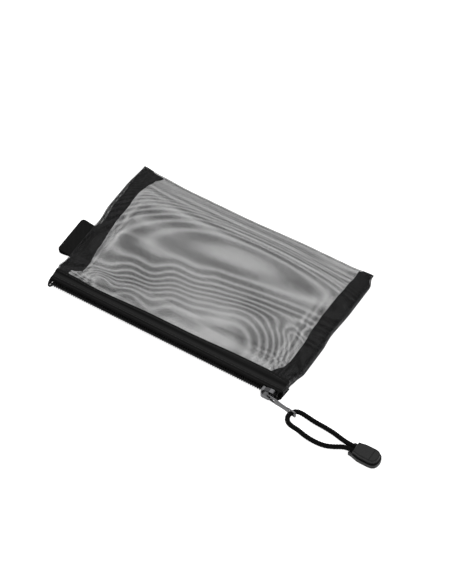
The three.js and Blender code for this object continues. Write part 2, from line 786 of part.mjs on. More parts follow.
// The cord's route, chosen by hand: out of the cord end, down to rest, up through the tab and back
function cordRoute() {
  const rest = cordDiameter / 2;
  const spacing = (cordDiameter + strandGap) / 2;
  const inner = [
    [cordEndFromLoop + 3.6, spacing, cordEndMidZ],
    [cordEndFromLoop + 1, spacing, cordEndMidZ],
    [cordEndFromLoop - 1.5, spacing + 0.05, cordEndMidZ],
    [cordEndFromLoop - 5, spacing + 0.6, 2.95],
    [cordEndFromLoop - 10, spacing + 2.1, 1.8],
    [cordEndFromLoop - 15, spacing + 3.3, rest],
    [cordEndFromLoop - 22, loopRadius - 0.1, rest],
    [9.5, loopRadius, 1.9],
    [4.5, loopRadius, 3.0],
  ];
  const outer = [
    [4.5, -loopRadius - 0.15, 3.0],
    [9.5, -loopRadius - 0.7, 1.9],
    [cordEndFromLoop - 22, -loopRadius - 1.1, rest],
    [cordEndFromLoop - 15, -loopRadius - 0.4, rest],
    [cordEndFromLoop - 10, -spacing - 2.7, 1.8],
    [cordEndFromLoop - 5, -spacing - 0.8, 2.95],
    [cordEndFromLoop - 1.5, -spacing - 0.05, cordEndMidZ],
    [cordEndFromLoop + 1, -spacing, cordEndMidZ],
    [cordEndFromLoop + 3.6, -spacing, cordEndMidZ],
  ];
  const arc = [];
  for (const turn of [90, 120, 150, 180, 210, 240, 270]) {
    const angle = THREE.MathUtils.degToRad(turn);
    const drop = Math.abs(turn - 180) > 80 ? 0.35 : 0;
    arc.push([loopRadius * Math.cos(angle), loopRadius * Math.sin(angle), zipMidZ - drop]);
  }
  return inner.concat(arc, outer).map(([x, y, z]) => {
    return new THREE.Vector3(loopCentre.x + x, loopCentre.y + y, z);
  });
}

function pullCord() {
  const curve = new THREE.CatmullRomCurve3(cordRoute(), false, 'centripetal');
  const steps = 44;
  return wire(curve.getSpacedPoints(steps), cordDiameter / 2, 8, new THREE.Vector3(0, 0, 1));
}

// Outline of a half of the cord end seen from above, from its mouth to its round tip
function cordEndOutline(start, mouth, inset) {
  const broad = cordEndWidth / 2 - inset;
  const shoulder = cordEndShoulder;
  const straight = cordEndLength - cordEndTip;
  const tip = cordEndLength - inset;
  const flat = start + 0.4 * (shoulder - start);
  const swell = start + 0.55 * (shoulder - start);
  const shape = new THREE.Shape();
  shape.moveTo(start, -mouth);
  shape.bezierCurveTo(flat, -mouth, swell, -broad, shoulder, -broad);
  shape.lineTo(straight, -broad);
  shape.quadraticCurveTo(tip, -broad, tip, 0);
  shape.quadraticCurveTo(tip, broad, straight, broad);
  shape.lineTo(shoulder, broad);
  shape.bezierCurveTo(swell, broad, flat, mouth, start, mouth);
  return shape;
}

// One half of the cord end, from the parting line to its outer face, whose edge is drawn in.
// The cap is the smaller half: it leaves a ledge of the base all round and starts farther in.
function cordEndHalf(side) {
  const outline = side > 0
    ? cordEndOutline(capFromMouth, capMouthWidth / 2, capInset)
    : cordEndOutline(0, cordEndMouthWidth / 2, 0);
  const height = cordEndHeight / 2 - cordEndParting / 2;
  const settings = {
    depth: height - cordEndBevel,
    bevelThickness: cordEndBevel,
    bevelSize: cordEndBevel,
    bevelOffset: -cordEndBevel,
    bevelSegments: 3,
    curveSegments: 4,
  };
  const raw = new THREE.ExtrudeGeometry(outline, settings);
  const slab = sweepZ(rectangle(-1, cordEndLength + 1, -cordEndWidth, cordEndWidth), -cordEndHeight, 0);
  const outer = combine(raw, [], [slab]);
  const channelHalf = cordDiameter + strandGap / 2 + seatGap;
  const channelTop = cordDiameter / 2 + seatGap;
  const mouth = roundedRectangle(-channelHalf, channelHalf, -channelTop, channelTop, channelTop - 0.01);
  const channelSettings = { depth: cordEndMouthDepth + 1, bevelEnabled: false, curveSegments: 4 };
  const channel = new THREE.ExtrudeGeometry(mouth, channelSettings);
  channel.applyMatrix4(new THREE.Matrix4().makeBasis(
    new THREE.Vector3(0, 1, 0),
    new THREE.Vector3(0, 0, 1),
    new THREE.Vector3(1, 0, 0),
  ));
  channel.translate(-1, 0, -cordEndParting / 2);
  const chamber = new THREE.SphereGeometry(1, 12, 8);
  chamber.scale(knotLength / 2 + seatGap, knotWidth / 2 + seatGap, knotHeight / 2 + seatGap);
  chamber.translate(knotMiddle(), 0, -cordEndParting / 2);
  const socketRadius = pegRadius + seatGap;
  const socketHeight = pegHeight + seatGap;
  const peg = new THREE.CylinderGeometry(pegRadius, pegRadius, 2 * pegHeight, 8);
  const socket = new THREE.CylinderGeometry(socketRadius, socketRadius, 2 * socketHeight, 8);
  for (const geometry of [peg, socket]) {
    geometry.rotateX(Math.PI / 2);
    geometry.translate(cordEndLength - pegFromTip, 0, 0);
  }
  const gripSection = rectangle(-cordEndWidth, cordEndWidth, height - gripDepth, height + 1);
  const groove = sweepX(gripSection, gripFromMouth, gripFromMouth + gripWidth);
  const added = side > 0 ? [] : [peg];
  const removed = side > 0 ? [channel, chamber, socket, groove] : [channel, chamber];
  const geometry = combine(outer, added, removed);
  if (side < 0) {
    geometry.rotateX(Math.PI);
  }
  geometry.translate(cordEndX, loopCentre.y, cordEndMidZ + (side * cordEndParting) / 2);
  return geometry;
}

function knotMiddle() {
  return knotFromMouth + seatGap + knotLength / 2;
}

// The knot that stops both ends of the cord, drawn as a lumpy ball shut inside the cord end
function cordKnot() {
  const geometry = new THREE.SphereGeometry(1, 12, 8);
  const position = geometry.attributes.position;
  const point = new THREE.Vector3();
  for (let i = 0; i < position.count; i++) {
    point.fromBufferAttribute(position, i);
    const lump = 0.95 + 0.05 * Math.sin(4 * Math.atan2(point.z, point.x));
    position.setXYZ(i, point.x * lump, point.y, point.z * lump);
  }
  geometry.scale(knotLength / 2, knotWidth / 2, knotHeight / 2);
  geometry.translate(cordEndX + knotMiddle(), loopCentre.y, cordEndMidZ);
  return geometry;
}

addPart('mesh_body', meshBody(), materials.mesh);
addPart('side_binding_left', sideBinding(-1, zipFaceY + bindingFrontLeft), materials.binding);
addPart('side_binding_right', sideBinding(1, zipFaceY + bindingFrontRight), materials.binding);
addPart('side_tab', sideTab(), materials.webbing);

const halves = [['upper', 1], ['lower', -1]];
for (const [name, side] of halves) {
  addPart(`zip_tape_${name}`, zipTape(side), materials.tape);
  addPart(`zip_coil_${name}`, zipCoil(side), materials.coil);
  addPart(`filler_cord_${name}`, fillerCord(side), materials.cord);
}
addPart('slider_body', sliderBody(), materials.metal);

const pull = addPart('pull_tab', pullTab(), materials.metal);
pull.position.copy(hinge);
pull.rotation.z = pullTurn;

addPart('pull_cord', pullCord(), materials.cord);
addPart('cord_knot', cordKnot(), materials.cord);
addPart('cord_end_base', cordEndHalf(-1), materials.plastic);
addPart('cord_end_cap', cordEndHalf(1), materials.plastic);

const lowerPath = coilPath(-1);
const upperPath = coilPath(1);
console.log('coil gap to itself, mm:', leastGap(upperPath, upperPath, coilSteps - 1).toFixed(2));
console.log('gap between the half chains, mm:', leastGap(upperPath, lowerPath, 0).toFixed(2));
console.log('pull tab hinge, mm:', hinge.toArray().map((value) => value.toFixed(2)).join(' '));
console.log('cord loop centre, mm:', loopCentre.toArray().map((value) => value.toFixed(2)).join(' '));
const sliderStop = sliderX - sliderTravel - sliderLength / 2 + sideX;
console.log('room between the left side and the slider at its far stop, mm:', sliderStop.toFixed(2));

export default group;
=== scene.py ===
# %% [markdown]
# A flat zip pouch of black see-through mesh lies on a white table. Its two short sides are
# bound inside with black tape, a loop of webbing sticks out of the left seam, a coil zip runs
# along the near edge, and the slider carries a slim metal tab with a loop of braided cord.
# The machine model gives every place in one frame, so each soft piece is built where its
# plain stand-in lies and then takes over from it. All sizes below are in millimetres.

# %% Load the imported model
import math

import bpy
import numpy as np
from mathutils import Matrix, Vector


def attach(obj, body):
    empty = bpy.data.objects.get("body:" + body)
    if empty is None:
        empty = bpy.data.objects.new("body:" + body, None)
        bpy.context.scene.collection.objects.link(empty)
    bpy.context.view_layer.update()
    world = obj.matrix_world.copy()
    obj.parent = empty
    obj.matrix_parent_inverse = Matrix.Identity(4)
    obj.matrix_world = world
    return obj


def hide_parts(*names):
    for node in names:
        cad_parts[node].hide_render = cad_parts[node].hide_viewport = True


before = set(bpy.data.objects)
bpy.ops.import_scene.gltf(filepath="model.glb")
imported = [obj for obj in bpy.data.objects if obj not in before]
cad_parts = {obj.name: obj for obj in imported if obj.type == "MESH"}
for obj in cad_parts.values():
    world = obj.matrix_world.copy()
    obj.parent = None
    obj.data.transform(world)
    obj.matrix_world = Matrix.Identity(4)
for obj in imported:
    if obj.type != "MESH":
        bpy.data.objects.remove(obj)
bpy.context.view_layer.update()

# %% [markdown]
# The camera stands where the photographer's did: in front of the zip, a little to the right
# and about 52 degrees up. It is far away with a long lens, so that the sides of the pouch
# stay almost parallel, and it is aimed at the middle of what the photograph shows.

# %% Camera
MM = 0.001
AIM = np.array([12.2, -1.7, 0.0]) * MM
TOWARDS_CAMERA = np.array([0.3215, -0.518, 0.792])
CAMERA_DISTANCE = 2.03

camera_data = bpy.data.cameras.new("camera")
camera_data.lens = 200
camera_data.sensor_width = 36
camera_data.clip_end = 20
camera = bpy.data.objects.new("camera", camera_data)
bpy.context.scene.collection.objects.link(camera)
camera.location = AIM + TOWARDS_CAMERA / np.linalg.norm(TOWARDS_CAMERA) * CAMERA_DISTANCE


def aim(thing, at):
    """Turn a camera or lamp so that it looks along its own -Z at a point."""
    direction = Vector(at) - thing.location
    thing.rotation_euler = direction.to_track_quat("-Z", "Y").to_euler()


aim(camera, AIM)
bpy.context.scene.camera = camera
print("camera at", np.round(np.array(camera.location), 3))

# %% [markdown]
# Every new piece is a skin over a grid of points. The rows run along the piece and the
# columns run across it or round it. One helper joins the grid into faces, closes the ends and
# writes a UV map in metres, so that a weave keeps its true scale. A closed skin whose volume
# comes out negative is inside out, and is turned round.

# %% Helpers that turn grids into meshes
def lengths_along(points):
    """Distance of each point from the first one, measured along the line of points."""
    steps = np.linalg.norm(np.diff(points, axis=0), axis=1)
    return np.concatenate([[0.0], np.cumsum(steps)])


def grid_faces(rows, columns, closed_rows, closed_columns):
    """Corner numbers of the quads of a grid, and the same corners as unwrapped places."""
    i, j = np.meshgrid(
        np.arange(rows if closed_rows else rows - 1),
        np.arange(columns if closed_columns else columns - 1),
        indexing="ij",
    )
    places = np.stack([
        np.stack([i, j], -1), np.stack([i, j + 1], -1),
        np.stack([i + 1, j + 1], -1), np.stack([i + 1, j], -1),
    ], 2).reshape(-1, 4, 2)
    numbers = (places[..., 0] % rows) * columns + places[..., 1] % columns
    return numbers, places


def skin(name, points, body, closed_rows=False, closed_columns=False, ends=None, turned=False):
    """A piece whose faces join a grid of points in millimetres.

    ends is "round" where a closing face fits the first and last row, or "strip" where the
    row goes out along one side of a thin section and back along the other.
    """
    rows, columns = points.shape[:2]
    numbers, places = grid_faces(rows, columns, closed_rows, closed_columns)
    along = lengths_along(np.vstack([points[:, 0], points[:1, 0]]))
    across = lengths_along(np.vstack([points[rows // 2], points[rows // 2, :1]]))
    faces = numbers.tolist()
    corner_uv = np.stack([along[places[..., 0]], across[places[..., 1]]], -1).reshape(-1, 2)
    last = (rows - 1) * columns
    extra = []
    if ends == "round":
        extra = [list(range(columns))[::-1], list(range(last, last + columns))]
    if ends == "strip":
        for k in range(columns // 2 - 1):
            a, b, c, d = k, k + 1, columns - 2 - k, columns - 1 - k
            extra.append([d, c, b, a])
            extra.append([last + a, last + b, last + c, last + d])
    flat = points.reshape(-1, 3)
    if ends or (closed_rows and closed_columns):
        a, b, c, d = (flat[numbers[:, k]] for k in range(4))
        volume = (a * np.cross(b, c)).sum() + (a * np.cross(c, d)).sum()
        for face in extra:
            ring = flat[face]
            for k in range(1, len(face) - 1):
                volume += np.dot(ring[0], np.cross(ring[k], ring[k + 1]))
        turned = volume < 0
    faces += extra
    extra_uv = np.zeros((sum(len(face) for face in extra), 2))
    corner_uv = np.vstack([corner_uv, extra_uv]) * MM
    mesh = bpy.data.meshes.new(name)
    mesh.from_pydata(flat * MM, [], faces)
    layer = mesh.uv_layers.new(name="UVMap")
    layer.data.foreach_set("uv", corner_uv.astype(np.float32).ravel())
    mesh.polygons.foreach_set("use_smooth", np.ones(len(faces), bool))
    if turned:
        mesh.flip_normals()
    mesh.update()
    piece = bpy.data.objects.new(name, mesh)
    bpy.context.scene.collection.objects.link(piece)
    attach(piece, body)
    return piece


def smooth_step(value, low, high):
    """0 below low, 1 above high, and 3 t^2 - 2 t^3 between them."""
    t = np.clip((value - low) / (high - low), 0, 1)
    return t * t * (3 - 2 * t)


def flowing(value, points):
    """A smooth curve through (place, height) points: one smooth step from each to the next."""
    places, heights = zip(*points)
    total = np.full(np.shape(value), float(heights[0]))
    for k in range(len(points) - 1):
        step = smooth_step(value, places[k], places[k + 1])
        total = total + (heights[k + 1] - heights[k]) * step
    return total


def report(piece):
    """Print how large a piece is and how many faces it has."""
    box = np.array([vertex.co for vertex in piece.data.vertices])
    size = (box.max(axis=0) - box.min(axis=0)) / MM
    print(piece.name, "size in mm:", np.round(size, 1), "faces:", len(piece.data.polygons))


# %% [markdown]
# A finish is worked out with shader maths. A small class wraps a node's output, so that
# sums, products and waves can be written as one Python expression and each operator adds
# its Math node.

# %% A class for shader maths
class Value:
    """One output of a node, with which Python can calculate."""

    def __init__(self, finish, socket):
        self.finish = finish
        self.socket = socket

    def math(self, operation, *others):
        return self.finish.add("ShaderNodeMath", {"operation": operation}, [self, *others])

    def __add__(self, other):
        return self.math("ADD", other)

    def __mul__(self, other):
        return self.math("MULTIPLY", other)

    def __sub__(self, other):
        return self.math("SUBTRACT", other)

    def __rsub__(self, other):
        return self * -1 + other

    def __pow__(self, other):
        return self.math("POWER", other)

    def sin(self):
        return self.math("SINE")

    def cos(self):
        return self.math("COSINE")

    def size(self):
        return self.math("ABSOLUTE")

    def square(self):
        return self * self

    def exp(self):
        return self.math("EXPONENT")

    def larger(self, other):
        return self.math("MAXIMUM", other)

    def step(self, low, high):
        settings = {"interpolation_type": "SMOOTHSTEP"}
        return self.finish.add("ShaderNodeMapRange", settings, [self, low, high, 0.0, 1.0])


class Finish:
    """A material with one Principled shader, whose other nodes are added by add()."""

    def __init__(self, name, **settings):
        self.material = bpy.data.materials.new(name)
        self.material.use_nodes = True
        self.tree = self.material.node_tree
        self.shader = self.tree.nodes["Principled BSDF"]
        self.shader.distribution = "GGX"
        for socket, value in settings.items():
            self.shader.inputs[socket.replace("_", " ")].default_value = value

    def add(self, kind, settings=None, inputs=(), output=0):
        """A node with its settings made first, then values or links put in its sockets."""
        node = self.tree.nodes.new(kind)
        for key, value in (settings or {}).items():
            setattr(node, key, value)
        pairs = inputs.items() if isinstance(inputs, dict) else enumerate(inputs)
        for socket, value in pairs:
            if isinstance(value, Value):
                self.tree.links.new(value.socket, node.inputs[socket])
            else:
                node.inputs[socket].default_value = value
        return Value(self, node.outputs[output])

    def place(self, kind="Object"):
        """The x, y and z of the object's own coordinates, or of its UV map."""
        where = self.add("ShaderNodeTexCoord", output={"Object": 3, "UV": 2}[kind])
        node = self.add("ShaderNodeSeparateXYZ", inputs=[where]).socket.node
        return [Value(self, node.outputs[k]) for k in range(3)]

    def noise(self, scale):
        """Smooth chance from 0 to 1 over the object, with this many waves to the metre."""
        inputs = {"Vector": self.add("ShaderNodeTexCoord", output=3), "Scale": scale, "Detail": 3.0}
        return self.add("ShaderNodeTexNoise", inputs=inputs)

    def blend(self, factor, first, second):
        """A colour between two colours."""
        inputs = {0: factor, 6: (*first, 1), 7: (*second, 1)}
        return self.add("ShaderNodeMix", {"data_type": "RGBA"}, inputs, output=2)

    def relief(self, height, distance, strength=1.0):
        """Bump from a height from 0 to 1, whose full depth is the distance in metres."""
        inputs = {"Strength": strength, "Distance": distance, "Height": height}
        self.feed("Normal", self.add("ShaderNodeBump", inputs=inputs))

    def feed(self, socket, value):
        self.tree.links.new(value.socket, self.shader.inputs[socket])

    def give(self, *pieces):
        for piece in pieces:
            piece.data.materials.clear()
            piece.data.materials.append(self.material)


# %% [markdown]
# The cord comes first, because it is the one piece that lies freely. It is 2.8 mm braided
# polyester, folded in half through the slot of the metal tab, with both ends knotted inside
# the plastic end piece. The route leaves the end piece, comes down to the table, rises through
# the slot and comes back. A centripetal Catmull-Rom spline through the chosen points gives a
# smooth line without loops.

# %% The cord's route
CORD_DIAMETER = 2.8
LOOP_CENTRE = np.array([101.459, -64.496])
LOOP_RADIUS = 5.6
END_X = 38.5
ZIP_MID_Z = 4.1
REST = CORD_DIAMETER / 2

inner_run = [
    (END_X + 3.6, 1.5, 3.5), (END_X + 1, 1.5, 3.5), (END_X - 1.5, 1.55, 3.5),
    (END_X - 5, 2.1, 2.95), (END_X - 10, 3.6, 1.8), (END_X - 15, 4.8, REST),
    (END_X - 22, 5.5, REST), (9.5, 5.6, 1.9), (4.5, 5.6, 3.0),
]
turn = np.radians(np.arange(90, 271, 30))
round_end = np.stack([
    LOOP_RADIUS * np.cos(turn),
    LOOP_RADIUS * np.sin(turn),
    ZIP_MID_Z - 0.35 * (np.abs(turn - math.pi) > math.radians(80)),
], 1)
outer_run = [
    (4.5, -5.75, 3.0), (9.5, -6.3, 1.9), (END_X - 22, -6.7, REST), (END_X - 15, -6.0, REST),
    (END_X - 10, -4.2, 1.8), (END_X - 5, -2.3, 2.95), (END_X - 1.5, -1.55, 3.5),
    (END_X + 1, -1.5, 3.5), (END_X + 3.6, -1.5, 3.5),
]
route = np.vstack([inner_run, round_end, outer_run])
route[:, :2] += LOOP_CENTRE


def through(points, count):
    """A smooth line through points, spaced evenly.

    Between two points a centripetal Catmull-Rom spline is three rounds of straight blends,
    whose knots lie at the square roots of the distances.
    """
    first = 2 * points[0] - points[1]
    last = 2 * points[-1] - points[-2]
    p = np.vstack([first, points, last])
    knots = np.concatenate([[0], np.cumsum(np.linalg.norm(np.diff(p, axis=0), axis=1) ** 0.5)])
    share = np.linspace(0, 1, 24, endpoint=False)[None, :, None]
    p0, p1, p2, p3 = (p[k:len(p) - 3 + k][:, None] for k in range(4))
    t0, t1, t2, t3 = (knots[k:len(p) - 3 + k][:, None, None] for k in range(4))
    t = t1 + (t2 - t1) * share
    a1 = (t1 - t) / (t1 - t0) * p0 + (t - t0) / (t1 - t0) * p1
    a2 = (t2 - t) / (t2 - t1) * p1 + (t - t1) / (t2 - t1) * p2
    a3 = (t3 - t) / (t3 - t2) * p2 + (t - t2) / (t3 - t2) * p3
    b1 = (t2 - t) / (t2 - t0) * a1 + (t - t0) / (t2 - t0) * a2
    b2 = (t3 - t) / (t3 - t1) * a2 + (t - t1) / (t3 - t1) * a3
    line = ((t2 - t) / (t2 - t1) * b1 + (t - t1) / (t2 - t1) * b2).reshape(-1, 3)
    line = np.vstack([line, points[-1]])
    return evenly(line, count)


def evenly(line, count):
    """The same line with its points spaced evenly."""
    at = lengths_along(line)
    wanted = np.linspace(0, at[-1], count)
    return np.stack([np.interp(wanted, at, line[:, k]) for k in range(3)], 1)


cord_line = through(route, 640)

# %% [markdown]
# A braid is two sets of strands that wind round the cord both ways and cross over and under
# each other. Instead of many thin pieces, the tube's own radius rises and falls: at each
# place the strand on top gives the height, and which set is on top changes like a
# chessboard. The frame of each ring is kept square to the up direction, which is safe here
# because the cord lies nearly level.

# %% The braided cord
def frames(line, up=(0.0, 0.0, 1.0)):
    """For each point of a line: its direction, a side direction and the third one."""
    along = np.gradient(line, axis=0)
    along /= np.linalg.norm(along, axis=1, keepdims=True)
    side = np.cross(np.array(up), along)
    side /= np.linalg.norm(side, axis=1, keepdims=True)
    return along, side, np.cross(along, side)


def tube(line, radius, sides, up=(0.0, 0.0, 1.0)):
    """Rings round a line. The radius may be a number or a function of distance and angle."""
    _, side, third = frames(line, up)
    angle = np.linspace(0, 2 * math.pi, sides, endpoint=False)
    distance = lengths_along(line)[:, None]
    size = radius(distance, angle[None]) if callable(radius) else radius
    size = np.broadcast_to(size, (len(line), sides))[..., None]
    across = side[:, None] * np.cos(angle)[None, :, None]
    over = third[:, None] * np.sin(angle)[None, :, None]
    return line[:, None] + size * (across + over)


def braid(strands, repeat, low, high):
    """A braid's radius: |cos| ridges of two crossing helices, woven over and under."""
    def radius(distance, angle):
        twist = 2 * math.pi * distance / repeat
        one = strands / 2 * (angle - twist)
        other = strands / 2 * (angle + twist)
        share = smooth_step(np.sin(one) * np.sin(other), -0.25, 0.25)
        ridge = share * np.abs(np.cos(one)) + (1 - share) * np.abs(np.cos(other))
        return low + (high - low) * ridge ** 0.7
    return radius


cord_tube = tube(cord_line, braid(4, 7.6, REST * 0.9, REST * 1.14), 40)
cord = skin("pull_cord_braid", cord_tube, "cord", closed_columns=True, ends="round")
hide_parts("pull_cord")
report(cord)

# %% [markdown]
# Inside the end piece both ends are tied together. Nobody sees this knot, but it is what
# holds the cord, so it is there: a tube along the trefoil curve, the simplest closed knot,
# pressed to the size of the chamber.

# %% The knot
KNOT_MIDDLE_X = 147.26
KNOT_SIZE = np.array([7.2, 6.4, 3.8])
KNOT_WIRE = 0.95
t = np.linspace(0, 2 * math.pi, 160, endpoint=False)
trefoil = np.stack([
    np.sin(t) + 2 * np.sin(2 * t), np.cos(t) - 2 * np.cos(2 * t), -np.sin(3 * t),
], 1)
span = trefoil.max(axis=0) - trefoil.min(axis=0)
middle = (trefoil.max(axis=0) + trefoil.min(axis=0)) / 2
knot_line = (trefoil - middle) / span * (KNOT_SIZE - 2 * KNOT_WIRE)
knot_line += [KNOT_MIDDLE_X, LOOP_CENTRE[1], 3.5]
knot_points = tube(np.vstack([knot_line[-1:], knot_line, knot_line[:1]]), KNOT_WIRE, 12)[1:-1]
knot = skin("cord_end_knot", knot_points, "cord", closed_rows=True, closed_columns=True)
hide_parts("cord_knot")
report(knot)

# %% [markdown]
# The pouch is one sheet of net folded at the far edge. Along its middle it is nearly level,
# then it comes down to the fold, and at the side seams the two layers are drawn together.
# These heights are the same formulas as in the machine model, now for whole arrays. The real
# fold is creased flatter than the stand-in, so here the layers close in on each other there.

# %% Heights of the pouch
SIDE_X, ZIP_Y, FOLD_Y = 85.5, -55.0, 55.0
TAPE_REAR = -45.6
MOUTH_Y = -52.5
FOLD_HEIGHT = 3.6
FRONT_HEIGHT = 7.45
SEAM_HEIGHT = 5.0
BINDING_INNER = 75.2
SEAM_BLEND = 12.0
PINCH_START, PINCHED = 36.0, 0.5


def middle_height(y):
    """Falls with the cube of the way from the zip to the fold."""
    return FRONT_HEIGHT - (FRONT_HEIGHT - FOLD_HEIGHT) * ((y - MOUTH_Y) / (FOLD_Y - MOUTH_Y)) ** 3


def side_height(y):
    """The height at the side seams, drawn down behind the zip tape."""
    middle = middle_height(y)
    low = np.minimum(SEAM_HEIGHT, middle)
    return middle + (low - middle) * smooth_step(y, TAPE_REAR, TAPE_REAR + SEAM_BLEND)


def layers(x, y):
    """Heights of the lower and the upper layer of the net."""
    drawn = smooth_step(np.abs(x), BINDING_INNER - SEAM_BLEND, BINDING_INNER)
    high = middle_height(y) + (side_height(y) - middle_height(y)) * drawn
    low = 0.75 * (1 - smooth_step(y, TAPE_REAR + 1.5, TAPE_REAR + 5.5))
    middle = (high + low) / 2
    half = (high - low) / 2 * (1 - PINCHED * smooth_step(y, PINCH_START, FOLD_Y))
    return middle - half, middle + half


def seam_middle(y):
    """The height at which the two layers meet in a side seam."""
    return sum(layers(SIDE_X, y)) / 2


# %% [markdown]
# The real pouch isn't a perfect rectangle. Its side edges and its fold wander by a millimetre
# or two, the front corners are rounded, and the rear edge of the zip tape is a little wavy.
# One small shift of x and y is applied to every sewn piece, so that they all stay together.
# The front of the zip is left straight, because the slider has to run along it.

# %% Shift of the sewn pieces
LEFT_SHIFT = [
    (-58, 1.5), (-53, 1.6), (-46, 0.8), (-40.5, -0.9), (-31, 0.3), (2, 0.3), (16, -1.2),
    (32, -1.1), (54, 0),
]
RIGHT_SHIFT = [
    (-57, -2.4), (-54, -0.9), (-46, -0.4), (-40, 0.2), (-31, 2.0), (-10, 2.0), (2, 1.0),
    (24, 2.2), (45, 2.4), (53, -0.4),
]
REAR_SHIFT = [(-75, -0.8), (-56, -1.7), (-8, -0.1), (10, 0), (56, 1.5), (68, 1.7), (84, 0.5)]
FOLD_SHIFT = [(-85, 1.5), (-72, 0.2), (-50, -0.8), (-10, -0.8), (42, 0.7), (70, 0.8), (84, 2.0)]


def settle(points):
    """Sewn pieces as they lie: a small smooth shift in the plane."""
    x, y, z = np.moveaxis(points, -1, 0)
    behind = smooth_step(y, -51, -40)
    start = 82 - 57 * behind
    share = np.clip((np.abs(x) - start) / (SIDE_X - start), 0, 1) ** (1 + 0.5 * behind)
    sideways = np.where(x < 0, flowing(y, LEFT_SHIFT), flowing(y, RIGHT_SHIFT))
    near_tape = smooth_step(y, -51, -46.5) * (1 - smooth_step(y, -44, -5))
    forwards = near_tape * flowing(x, REAR_SHIFT) + smooth_step(y, 0, 52) * flowing(x, FOLD_SHIFT)
    return np.stack([x + share * sideways, y + forwards, z], -1)


# %% [markdown]
# The sheet is a grid over two directions. Along the pouch it runs from under the upper zip
# tape over the top, round the fold and back under the lower tape. Across the pouch each
# layer rolls over at the side and runs back inside as the seam allowance, which the binding
# holds. At the webbing tab the two allowances part to make room for its ends.

# %% The folded sheet of net
TAB_START, TAB_WIDTH = -30.5, 28.0
ALLOWANCE_END = 77.6
EDGE_RADIUS = 1.6
FOLD_CENTRE = FOLD_Y - FOLD_HEIGHT / 2 * (1 - PINCHED)


def allowance_offset(x, y):
    """Half the distance between the two allowances, wider where they hold the tab."""
    near = smooth_step(y, TAB_START - 2.5, TAB_START - 0.5)
    far = smooth_step(y, TAB_START + TAB_WIDTH + 0.5, TAB_START + TAB_WIDTH + 2.5)
    return 0.16 + 0.9 * near * (1 - far) * (x < 0)


flat_part = np.linspace(-SIDE_X + EDGE_RADIUS, SIDE_X - EDGE_RADIUS, 150)
roll = np.radians(np.linspace(0, 90, 9)[1:])
inward = np.linspace(0, 1, 7)[1:]
rows_top = np.linspace(MOUTH_Y, FOLD_CENTRE, 96)
fold_angle = np.radians(np.linspace(90, -90, 19)[1:-1])


def sheet_row(y, way, fold=None):
    """One line of the sheet across the pouch, from one allowance's end to the other's."""
    low, high = layers(flat_part, y)
    middle, half = (high + low) / 2, (high - low) / 2
    lift = way if fold is None else math.sin(fold)
    height = middle + half * lift
    out = []
    for side, at in ((-1, 0), (1, -1)):
        gap = allowance_offset(side, y) * (way if fold is None else lift)
        centre, reach = middle[at], half[at] * lift
        x_roll = side * (SIDE_X - EDGE_RADIUS * (1 - np.sin(roll)))
        z_roll = centre + gap + (reach - gap) * np.cos(roll)
        x_in = side * (SIDE_X - (SIDE_X - ALLOWANCE_END) * inward)
        z_in = np.full_like(inward, centre + gap)
        out.append((np.concatenate([x_roll, x_in]), np.concatenate([z_roll, z_in])))
    (x_left, z_left), (x_right, z_right) = out
    x = np.concatenate([x_left[::-1], flat_part, x_right])
    z = np.concatenate([z_left[::-1], height, z_right])
    depth = 0.0 if fold is None else (FOLD_Y - FOLD_CENTRE) * math.cos(fold)
    return np.stack([x, np.full_like(x, y + depth), z], 1)


sheet_rows = [sheet_row(y, 1.0) for y in rows_top]
sheet_rows += [sheet_row(FOLD_CENTRE, 1.0, angle) for angle in fold_angle]
sheet_rows += [sheet_row(y, -1.0) for y in rows_top[::-1]]
sheet_points = settle(np.array(sheet_rows))
net = skin("net_sheet", sheet_points, "pouch")
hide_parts("mesh_body")

# %% [markdown]
# Tapes and bindings are thin strips with a bent section. The section is drawn as a line of
# points, thickened to both sides, and carried along the pouch.

# %% Strips with a bent section
def strip_ring(line, thickness):
    """Out along one side of a flat line of points and back along its other side."""
    along = np.gradient(line, axis=0)
    along /= np.linalg.norm(along, axis=1, keepdims=True)
    across = np.stack([-along[:, 1], along[:, 0]], 1) * thickness / 2
    return np.vstack([line + across, (line - across)[::-1]])


def arc(centre, radius, start, stop, count=7):
    """Points of a circle's part, between two angles in degrees."""
    angle = np.radians(np.linspace(start, stop, count))
    return np.stack([centre[0] + radius * np.cos(angle), centre[1] + radius * np.sin(angle)], 1)


# %% [markdown]
# The zip tape is woven polyester. Each half starts beside the coil, goes up the front face,
# bends over the edge and lies on the net, where two rows of stitches draw it down a little.
# At both ends of the zip the two tapes are turned over the coil and meet in front of it.

# %% The two zip tapes
TAPE = 0.45
ZIP_HEIGHT = 8.2
BEND = 1.1
STITCH_FRONT, STITCH_REAR = -52.6, -46.9
TAPE_FURROWS = [(STITCH_FRONT, 0.22, 0.45), (-49.0, 0.14, 0.7), (STITCH_REAR, 0.18, 0.5)]
CLOSED_DEPTH, CLOSED_GAP = 4.4, 0.05


def tape_section(side, closed):
    """Middle line of a half tape in (y, z): front leg, bend, and the leg over the net."""
    leg = np.stack([np.full(5, ZIP_Y + TAPE / 2), np.linspace(0.85, 2.8, 5)], 1)
    bend = arc((ZIP_Y + BEND, ZIP_HEIGHT / 2 - BEND), BEND - TAPE / 2, 180, 90)
    front = np.vstack([leg, bend])
    height = ZIP_HEIGHT / 2 - TAPE / 2 - CLOSED_GAP
    hood = arc((0, 0), 1, 180, 90, len(front)) * [CLOSED_DEPTH, height]
    front = front + (hood + [ZIP_Y + BEND, CLOSED_GAP] - front) * closed
    y = np.linspace(ZIP_Y + BEND + 0.3, TAPE_REAR, 40)
    sunk = sum(depth * np.exp(-((y - at) / wide) ** 2) for at, depth, wide in TAPE_FURROWS)
    over = np.stack([y, ZIP_HEIGHT / 2 - TAPE / 2 - sunk], 1)
    line = np.vstack([front, over])
    line[:, 1] = ZIP_MID_Z + side * line[:, 1]
    return line


